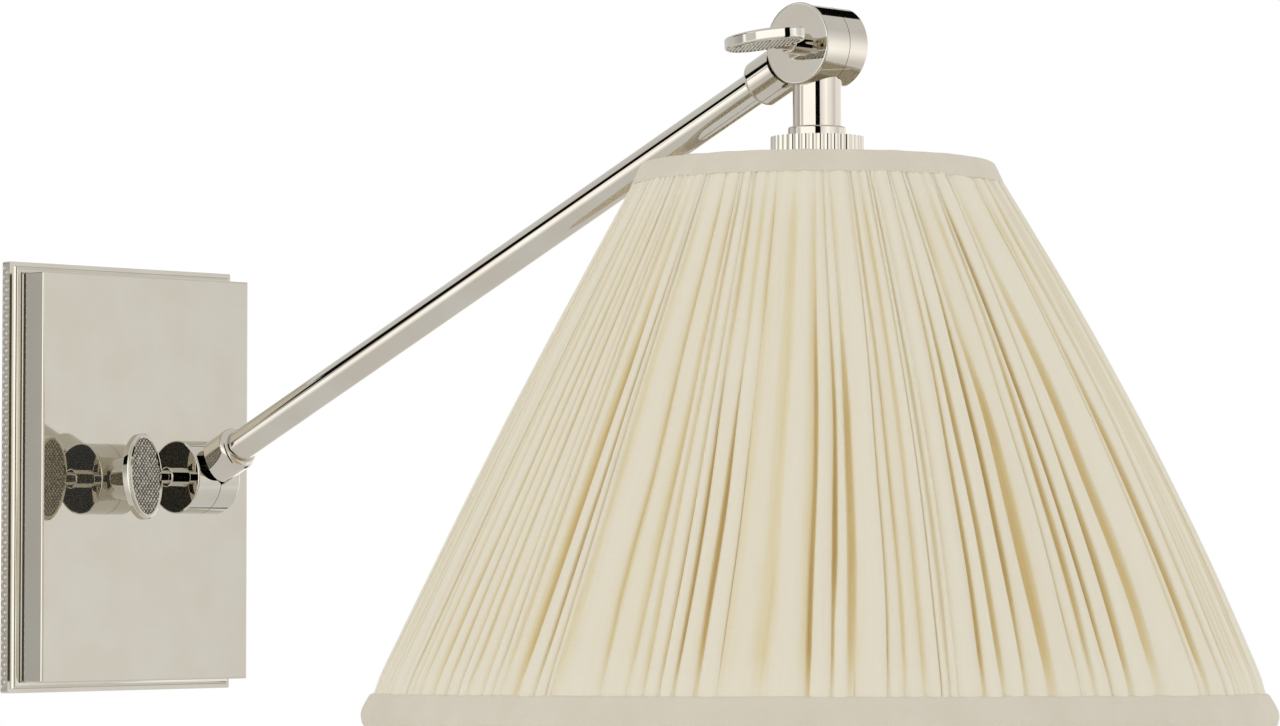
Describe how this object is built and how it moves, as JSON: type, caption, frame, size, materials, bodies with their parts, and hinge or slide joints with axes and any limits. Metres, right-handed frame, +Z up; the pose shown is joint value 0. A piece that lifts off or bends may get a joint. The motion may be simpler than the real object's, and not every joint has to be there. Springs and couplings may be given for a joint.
{
  "type": "wall lamp",
  "caption": "Adjustable pharmacy wall lamp: rectangular plate, tubular arm between knuckles locked by oval thumb keys, and a gathered fabric empire shade.",
  "frame": {"origin": "on the wall, at the middle of the plate's back", "axes": "+Y into the wall, +Z up, +X to the right along the wall for someone facing it; the arm reaches out along -Y"},
  "size_m": [0.3302, 0.5547, 0.2611],
  "materials": {
    "polished_nickel": "polished nickel plate on brass",
    "zinc_steel": "zinc-plated sheet steel",
    "brass": "plain turned brass",
    "fibre": "vulcanised fibre",
    "porcelain": "glazed white",
    "socket_liner_paper": "varnished insulating paper",
    "wire_insulation": "PVC insulation",
    "connector_plastic": "moulded",
    "frosted_glass": "inside-frosted",
    "black_glass": "glass insulator",
    "aluminium_cap": "rolled screw cap",
    "white_wire": "white powder coat",
    "lining": "pressed shade lining",
    "gathered_cotton": "gathered plain-weave cotton and linen",
    "trim_linen": "bias-cut linen binding"
  },
  "bodies": {
    "wall_bracket": {"back_plate": "polished_nickel", "cover": "polished_nickel", "lock_screws": "polished_nickel", "mounting_bar": "zinc_steel", "ground_screw": "brass", "post_collar": "polished_nickel", "post_nipple": "zinc_steel", "post_washer": "zinc_steel", "post_nut": "zinc_steel", "supply_wires": "wire_insulation", "wire_connectors": "connector_plastic", "wall_knuckle": "polished_nickel", "lower_friction_washer": "fibre"},
    "arm": {"arm_lower_knuckle": "polished_nickel", "arm_tube": "polished_nickel", "arm_wires": "wire_insulation", "arm_upper_knuckle": "polished_nickel"},
    "lower_key": {"lower_key": "polished_nickel", "lower_key_screw": "polished_nickel"},
    "upper_key": {"upper_key": "polished_nickel", "upper_key_screw": "polished_nickel"},
    "head": {"upper_friction_washer": "fibre", "head_knuckle": "polished_nickel", "neck_collar": "polished_nickel", "reeded_cap": "polished_nickel", "head_nipple": "zinc_steel", "neck_wires": "wire_insulation", "shade_spider": "white_wire", "spider_nut": "zinc_steel", "socket_cap": "polished_nickel", "socket_nut": "zinc_steel", "socket_shell": "polished_nickel", "socket_liner": "socket_liner_paper", "socket_base": "porcelain", "screw_shell": "brass", "centre_contact": "brass", "bulb_tip": "brass", "bulb_insulator": "black_glass", "bulb_screw": "aluminium_cap", "bulb_glass": "frosted_glass", "top_wire": "white_wire", "bottom_wire": "white_wire", "shade_ribs": "white_wire", "shade_lining": "lining", "shade_fabric": "gathered_cotton", "top_trim": "trim_linen", "bottom_trim": "trim_linen"}
  },
  "joints": [
    {"name": "arm_tilt", "type": "hinge", "parent": "wall_bracket", "child": "arm", "pos_m": [0, -0.0512, 0], "axis": [1, 0, 0], "range_deg": [-60, 60]},
    {"name": "shade_tilt", "type": "hinge", "parent": "arm", "child": "head", "pos_m": [0, -0.3896, 0.15208], "axis": [1, 0, 0], "range_deg": [-90, 3]},
    {"name": "lower_key_turn", "type": "hinge", "parent": "arm", "child": "lower_key", "pos_m": [0, -0.0512, 0], "axis": [-1, 0, 0], "range_deg": [0, 180]},
    {"name": "upper_key_turn", "type": "hinge", "parent": "arm", "child": "upper_key", "pos_m": [0, -0.3896, 0.15208], "axis": [-1, 0, 0], "range_deg": [0, 180]}
  ]
}
